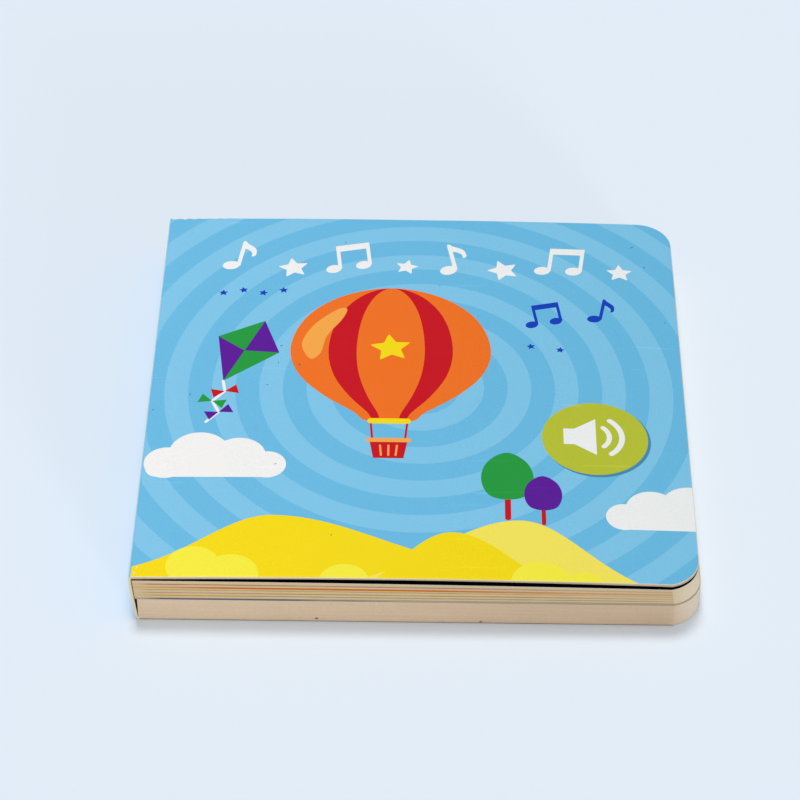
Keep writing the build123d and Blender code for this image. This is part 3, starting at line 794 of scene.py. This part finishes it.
flags = [f for _, _, f in outline(COVER_LEFT, 0.0)]
b = Build()
b.cap(front_print, cover_top)
b.wall([
    ring(COVER_LEFT, 0.10, cover_under),
    ring(COVER_LEFT, 0.01, lambda x, y: cover_under(x) + 0.08, 3.0, 0.05),
    ring(COVER_LEFT, 0.00, lambda x, y: cover_under(x) + 0.36, 3.0, 0.05),
    ring(COVER_LEFT, 0.06, lambda x, y: cover_under(x) + 0.40),
    ring(COVER_LEFT, 0.00, lambda x, y: cover_under(x) + 0.44, 5.0, 0.04),
    ring(COVER_LEFT, 0.00, lambda x, y: cover_top(x) - 0.16, 5.0, 0.04),
    ring(COVER_LEFT, 0.03, lambda x, y: cover_top(x) - 0.06),
    ring(COVER_LEFT, EDGE_IN, cover_top),
], [sheet_edge, sheet_edge, glue_edge, card_edge, card_edge, card_edge, worn_edge])
inner_pts = ([(x, y) for x, y in inner_print[0]], inner_print[1], inner_print[2])
b.cap(inner_pts, cover_under, up=False)
cover = b.make("front_cover_board")
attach(cover, "cover")
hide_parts("front_cover")

# ------------------------------------------------------------------ the wrap: spine strip and back cover
sp = circle_through((-89.6, 18.4), (-88.80, 8.0), (-88.1, 1.1))
h = 0.4
a_top = math.atan2(18.4 - sp[1], -89.6 - sp[0]) % (2 * math.pi)
a_foot = math.atan2(1.1 - sp[1], -88.1 - sp[0]) % (2 * math.pi)
theta = a_foot - math.pi
fr = (1.1 - h) / (1 - math.sin(theta))
fc = (-88.1 + fr * math.cos(theta), 1.1 + fr * math.sin(theta))
FOLD_Z = 17.55
a_cut = math.pi - math.asin((FOLD_Z - sp[1]) / sp[2])


def strip_pts(t):
    out = []
    for i in range(25):
        a = a_cut + (a_foot - a_cut) * i / 24
        out.append((sp[0] + (sp[2] + t) * math.cos(a), sp[1] + (sp[2] + t) * math.sin(a)))
    for i in range(1, 9):
        a = a_foot + (1.5 * math.pi - a_foot) * i / 8
        out.append((fc[0] + (fr + t) * math.cos(a), fc[1] + (fr + t) * math.sin(a)))
    return out


outer, inner = strip_pts(h), strip_pts(-h)
ys_ = [-HALF]
for k in range(1, 20):
    d2 = ((k - RING_PHASE) * RING_W) ** 2 - ((RING_C[0] + 90.0) * RING_SQUASH) ** 2
    if d2 > 0:
        for s in (-1, 1):
            y = RING_C[1] + s * math.sqrt(d2)
            if -HALF + 0.5 < y < HALF - 0.5:
                ys_.append(y)
ys_.append(HALF)
ys_ = sorted(ys_)
fine_y = []
for y0, y1 in zip(ys_, ys_[1:]):
    n = max(1, round((y1 - y0) / 8))
    fine_y += [y0 + (y1 - y0) * i / n for i in range(n)]
fine_y.append(HALF)


def ring_tone(y, i=0):
    r = math.hypot((RING_C[0] + 90.0) * RING_SQUASH, y - RING_C[1])
    k = math.floor(r / RING_W + RING_PHASE)
    return P["ring_dark"] if k % 2 else P["ring_light"]


def band(bd, pts, tone, flip):
    n, m = len(fine_y), len(pts)
    verts = [(x, y, z) for x, z in pts for y in fine_y]
    faces, ms = [], []
    for i in range(m - 1):
        for j in range(n - 1):
            f = (i * n + j, i * n + j + 1, (i + 1) * n + j + 1, (i + 1) * n + j)
            faces.append(f if flip else f[::-1])
            ms.append(tone((fine_y[j] + fine_y[j + 1]) / 2, i))
    bd.add(verts, faces, ms)


def end_faces(bd, outer_, inner_, m):
    for y, flip in ((-HALF, True), (HALF, False)):
        verts = [(x, y, z) for x, z in outer_] + [(x, y, z) for x, z in inner_]
        k = len(outer_)
        faces = [(i, i + 1, k + i + 1, k + i) for i in range(k - 1)]
        bd.add(verts, [f[::-1] if flip else f for f in faces], m)


b = Build()
band(b, outer, ring_tone, False)
band(b, inner, lambda y, i: gap_painted_shade, True)
end_faces(b, outer, inner, spine_cut)
b.add([(outer[0][0], -HALF, outer[0][1]), (outer[0][0], HALF, outer[0][1]), (inner[0][0], HALF, inner[0][1]), (inner[0][0], -HALF, inner[0][1])], [(0, 1, 2, 3)], gap_painted_shade)

# back cover: print, windows and cut edge
MY, SPK_X, SWITCH_X = -22.0, -28.0, 60.3
DOOR = (0.0, 48.4, 7.6)
fx = fc[0]


def round_rect(x0, x1, y0, y1, r, n=6):
    out = []
    for cx, cy, a0 in ((x1 - r, y0 + r, -90), (x1 - r, y1 - r, 0), (x0 + r, y1 - r, 90), (x0 + r, y0 + r, 180)):
        for i in range(n + 1):
            a = math.radians(a0 + 90 * i / n)
            out.append((cx + r * math.cos(a), cy + r * math.sin(a)))
    return out


holes = [round_rect(DOOR[0] - 0.6, DOOR[1] + 0.6, MY - DOOR[2] - 0.6, MY + DOOR[2] + 0.6, 1.5),
         round_rect(SWITCH_X - 6.3, SWITCH_X + 6.3, MY - 5.0, MY + 5.0, 2.0)]
sound = [(0.0, 0.0)] + [(5 * math.cos(math.radians(60 * i)), 5 * math.sin(math.radians(60 * i))) for i in range(6)]
sound += [(10 * math.cos(math.radians(30 * i)), 10 * math.sin(math.radians(30 * i))) for i in range(12)]
holes += [disc(SPK_X + hx, MY + hy, 1.2, n=20) for hx, hy in sound]
under_art = rings(-10.0, 20.0)
under_art += [(round_rect(-52, 76, MY - 24, MY + 24, 10, 10), P["ring_light"]), (round_rect(-50.6, 74.6, MY - 22.6, MY + 22.6, 8.8, 10), P["white"])]
under_art += [(disc(SPK_X, MY, 15.5, n=64), P["ring_light"]), (disc(SPK_X, MY, 14.3, n=64), P["white"])]
under_art += [(disc(SWITCH_X - 3.4, MY + 8.2, 1.1, n=20), P["blue"]), (disc(SWITCH_X + 3.4, MY + 8.2, 1.1, n=20), P["blue"]), (disc(SWITCH_X + 3.4, MY + 8.2, 0.6, n=16), P["white"])]
for x, y, s, t in ((-60, 62, 9, 10), (-20, 72, 6, -8), (24, 60, 8, 16), (62, 70, 6, -12), (66, 30, 5, 5), (-66, 20, 5, 0), (-70, -74, 7, 14), (70, -78, 6, 0), (0, -76, 5, 9)):
    under_art.append(star_at(x, y, s, P["white"], t))
under_edge = [(x, y) for x, y, _ in outline(fx, 0.06, BACK_OUT)]
under_print = lay_print(under_edge, P["ring_dark"], under_art, holes=holes, grid=8.0)
b.cap(under_print, lambda x, y: 0.0, up=False)
card_face = lay_print([(x, y) for x, y, _ in outline(fx, 0.0, BACK_OUT)], gap_painted_shade, [], holes=holes, grid=10.0)
b.cap(card_face, lambda x, y: 0.79)
# the lowest 0.28 mm of the cut edge carries the painted shade line at the floor, except on the rounded corners
b.wall([ring(fx, 0.06, lambda x, y: 0.0, out=BACK_OUT), ring(fx, 0.0, lambda x, y: 0.10, out=BACK_OUT),
        ring(fx, 0.0, lambda x, y: 0.28, out=BACK_OUT), ring(fx, 0.0, lambda x, y: 0.79, out=BACK_OUT)],
       [painted_shade_and_nicks, painted_shade_and_nicks, block_edge], corner=([f for _, _, f in outline(fx, 0.0)], {painted_shade_and_nicks: block_edge}))
for hp in holes:
    hp = hp if area(hp) > 0 else hp[::-1]
    b.wall([[(x, y, 0.0) for x, y in hp], [(x, y, 0.79) for x, y in hp]], [card_edge], flip=True)
wrap = b.make("spine_and_back_card")
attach(wrap, "book")
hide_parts("spine_and_back_cover")

# ------------------------------------------------------------------ the top fold, between the spine strip and the cover
S_out, S_in = outer[0], inner[0]
E_out, E_in = (COVER_LEFT + 0.02, cover_top(COVER_LEFT)), (COVER_LEFT + 0.02, cover_under(COVER_LEFT))
tang = (outer[0][0] - outer[1][0], outer[0][1] - outer[1][1])
tl = math.hypot(*tang)
tang = (tang[0] / tl, tang[1] / tl)


def bez(p0, p1, p2, p3, t):
    return tuple((1 - t) ** 3 * p0[c] + 3 * t * (1 - t) ** 2 * p1[c] + 3 * t * t * (1 - t) * p2[c] + t ** 3 * p3[c] for c in (0, 1))


NF = 14
k = 0.66
fold_out = [bez(S_out, (S_out[0] + tang[0] * k, S_out[1] + tang[1] * k), (E_out[0] - k * 0.75, E_out[1] - 0.01), E_out, i / NF) for i in range(NF + 1)]
k = 0.12
fold_in = [bez(S_in, (S_in[0] + tang[0] * k, S_in[1] + tang[1] * k), (E_in[0] - k, E_in[1]), E_in, i / NF) for i in range(NF + 1)]


def fold_tone(y, i):
    """Along the fold: a pale cream line on its outer side, then a painted highlight where the laminate curves over,
    then the ring print.
    """
    x = (fold_out[i][0] + fold_out[i + 1][0]) / 2
    return P["fold_pale"] if x < -89.80 else P["fold_painted_highlight"] if x < -89.42 else ring_tone(y)


b = Build()
band(b, fold_out, fold_tone, True)
band(b, fold_in, lambda y, i: gap_painted_shade, False)
end_faces(b, fold_out, fold_in, spine_cut)
fold = b.make("top_fold_card", smooth=True, sharp=60)
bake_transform(fold)

# ------------------------------------------------------------------ the leaves
random.seed(11)


def strip_in_x(z):
    """The inner face of the spine strip."""
    return sp[0] - math.sqrt((sp[2] - h) ** 2 - (z - sp[1]) ** 2)


def level(z_of, inset, seed=0.0, amount=0.0):
    z = z_of(-88.9, 0.0)
    share = max(0.0, min(1.0, (z - LINING_TOP) / (17.15 - LINING_TOP)))
    return ring(strip_in_x(min(z, 17.5)) + 0.25, inset, z_of, seed, amount, LEAF_OUT_LOW + (LEAF_OUT_TOP - LEAF_OUT_LOW) * share)


def flat(z):
    return lambda x, y: z


levels_ = [level(flat(BLOCK_TOP), 0.20), level(flat(BLOCK_TOP + 0.04), 0.06), level(flat(BLOCK_TOP + 0.40), 0.05, 1.0, 0.04),
           level(flat(BLOCK_TOP + 0.70), 0.05, 1.0, 0.04), level(flat(LINING_TOP), 0.10)]
bands_ = [seam_line, seam_line, seam_line, seam_green]
for i in range(LEAVES):
    s0, s1 = i / LEAVES, (i + 1) / LEAVES
    jit = random.uniform(0.0, 0.05)
    seed = 2.0 + i * 3.1
    ink_t = INK_T[i] if i < len(INK_T) else 0.2
    levels_ += [level(lambda x, y, s=s0: page_top(x, s) + 0.07, 0.06 + jit, seed, 0.05)]
    bands_ += [seam_green if i == 0 else leaf_edge]
    levels_ += [level(lambda x, y, s=s1, k=ink_t: page_top(x, s) - k, 0.05 + jit, seed, 0.05)]
    bands_ += [leaf_edge]
    levels_ += [level(lambda x, y, s=s1: page_top(x, s) - 0.08, 0.05 + jit, seed, 0.05)]
    bands_ += [INKS[i] if i < len(INKS) else leaf_edge]
    levels_ += [level(lambda x, y, s=s1: page_top(x, s), 0.10)]
    bands_ += [INKS[i] if i < len(INKS) else worn_edge]
b = Build()
swap = {m: leaf_corner for m in INKS}
swap[leaf_edge] = leaf_corner
swap[seam_line] = corner_line
swap[seam_green] = leaf_corner
b.wall(levels_, bands_, corner=([f for _, _, f in outline(-88.3, 0.0)], swap))
b.cap(leaf_print, lambda x, y: page_top(x))
b.cap(lay_print([(x, y) for x, y, _ in outline(strip_in_x(BLOCK_TOP) + 0.25, 0.20, LEAF_OUT_LOW)], gap_painted_shade, [], grid=12.0), lambda x, y: BLOCK_TOP, up=False)
leaves = b.make("card_leaves")
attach(leaves, "book")
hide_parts("page_block")

# ------------------------------------------------------------------ nicks in the block's tail edge
b = Build()
random.seed(5)
for nx_, nz, s in ((-30.8, 1.2, 0.9), (21.4, 0.65, 0.9)):
    pts = []
    for i in range(9):
        a = 2 * math.pi * i / 9
        r = s * random.uniform(0.45, 1.0)
        pts.append((nx_ + r * 0.8 * math.cos(a), max(0.02, nz + r * 0.6 * math.sin(a))))
    verts = [(x, -HALF - 0.015, z) for x, z in pts] + [(nx_ + 0.1 * s, -HALF - 0.13 * s, nz - 0.1)]
    b.add(verts, [(i, (i + 1) % 9, 9) for i in range(9)], painted_shade_and_nicks)
nicks = b.make("block_edge_nicks")
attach(nicks, "book")

# ------------------------------------------------------------------ CAD nodes that show as they are
plain = {
    "block_board": block_edge,
    "module_plastic": plastic("module_white", (232, 233, 232), 0.46),
    "switch_plastic": plastic("switch_black", (34, 35, 38), 0.42),
    "button_rubber": plastic("button_silicone", (222, 219, 210), 0.7, 1400, 0.3),
    "board_laminate": circuit("circuit_laminate"),
    "chip_resin": plastic("chip_resin_black", (16, 16, 18), 0.18, 300, 0.1, 0.5),
    "cell_steel": metal("cell_can", (206, 206, 202), 0.22, 0.15),
    "contact_steel": metal("contact_spring", (196, 190, 176), 0.3, 0.3),
    "screw_steel": metal("screw_zinc", (170, 170, 174), 0.32, 0.3),
    "speaker_steel": plastic("speaker_black", (44, 44, 48), 0.4, 500, 0.2, 0.2),
    "speaker_film": plastic("speaker_cone_film", (226, 224, 212), 0.25, 200, 0.1, 0.4),
    "wire_red": plastic("wire_red_skin", (190, 20, 24), 0.35),
    "wire_black": plastic("wire_black_skin", (24, 24, 26), 0.35),
    "coil_copper": metal("coil_winding", (196, 112, 60), 0.3, 0.8),
    "cover_card": card_edge,
    "page_board": leaf_edge,
}
slot_of = {s["node"]: s["material_slot"] for s in frame["record"]["subparts"]}
for name, ob in frame["nodes"].items():
    m = plain[slot_of[name]]
    if not ob.material_slots:
        ob.data.materials.append(m)
    for ms in ob.material_slots:
        ms.material = m

# ------------------------------------------------------------------ floor, light, camera
me = bpy.data.meshes.new("floor")
me.from_pydata([(-6, -6, 0), (6, -6, 0), (6, 6, 0), (-6, 6, 0)], [], [(0, 1, 2, 3)])
floor = bpy.data.objects.new("floor", me)
bpy.context.scene.collection.objects.link(floor)
floor.location.z = -0.00002
fm = Mat("floor_paper")
fm.color(lin((227, 237, 247)))
fm.rough(0.95)
fm.set(Specular_IOR_Level=0.0)
me.materials.append(fm.m)

world = bpy.data.worlds.new("studio")
bpy.context.scene.world = world
world.use_nodes = True
bg = world.node_tree.nodes["Background"]
bg.inputs[0].default_value = (0.98, 1.0, 1.04, 1)
bg.inputs[1].default_value = 0.30


def sun(name, az, el, power, angle, color=(1, 1, 1)):
    """az: the compass side it shines from, 0 = from the tail side, 90 = from the fore edge."""
    d = bpy.data.lights.new(name, "SUN")
    d.energy = power
    d.angle = math.radians(angle)
    d.color = color
    o = bpy.data.objects.new(name, d)
    a, e = math.radians(az), math.radians(el)
    src = Vector((math.sin(a) * math.cos(e), -math.cos(a) * math.cos(e), math.sin(e)))
    o.rotation_euler = src.to_track_quat("Z", "Y").to_euler()
    o.location = src * 2
    bpy.context.scene.collection.objects.link(o)


sun("key_overhead", 195, 73, 1.38, 16)
sun("top_soft", 60, 86, 0.76, 20)
sun("fill_front", 25, 4.5, 1.40, 12)

cam_d = bpy.data.cameras.new("camera")
cam = bpy.data.objects.new("camera", cam_d)
bpy.context.scene.collection.objects.link(cam)
az, el, roll = math.radians(0.5676), math.radians(41.6215), math.radians(0.2957)
back = Vector((math.sin(az) * math.cos(el), -math.cos(az) * math.cos(el), math.sin(el)))
right = Vector((math.cos(az), math.sin(az), 0))
up = back.cross(right)
r2 = right * math.cos(roll) + up * math.sin(roll)
u2 = up * math.cos(roll) - right * math.sin(roll)
loc = (back * 995.8734 + r2 * -5.5065 + u2 * 10.1587) * MM
cam.matrix_world = Matrix(((r2.x, u2.x, back.x, loc.x), (r2.y, u2.y, back.y, loc.y), (r2.z, u2.z, back.z, loc.z), (0, 0, 0, 1)))
cam_d.sensor_width = 36
cam_d.lens = 2914.4046 / 800 * 36
cam_d.clip_start, cam_d.clip_end = 0.05, 50
bpy.context.scene.camera = cam
bpy.context.scene.view_settings.view_transform = "Standard"
bpy.context.scene.view_settings.look = "None"
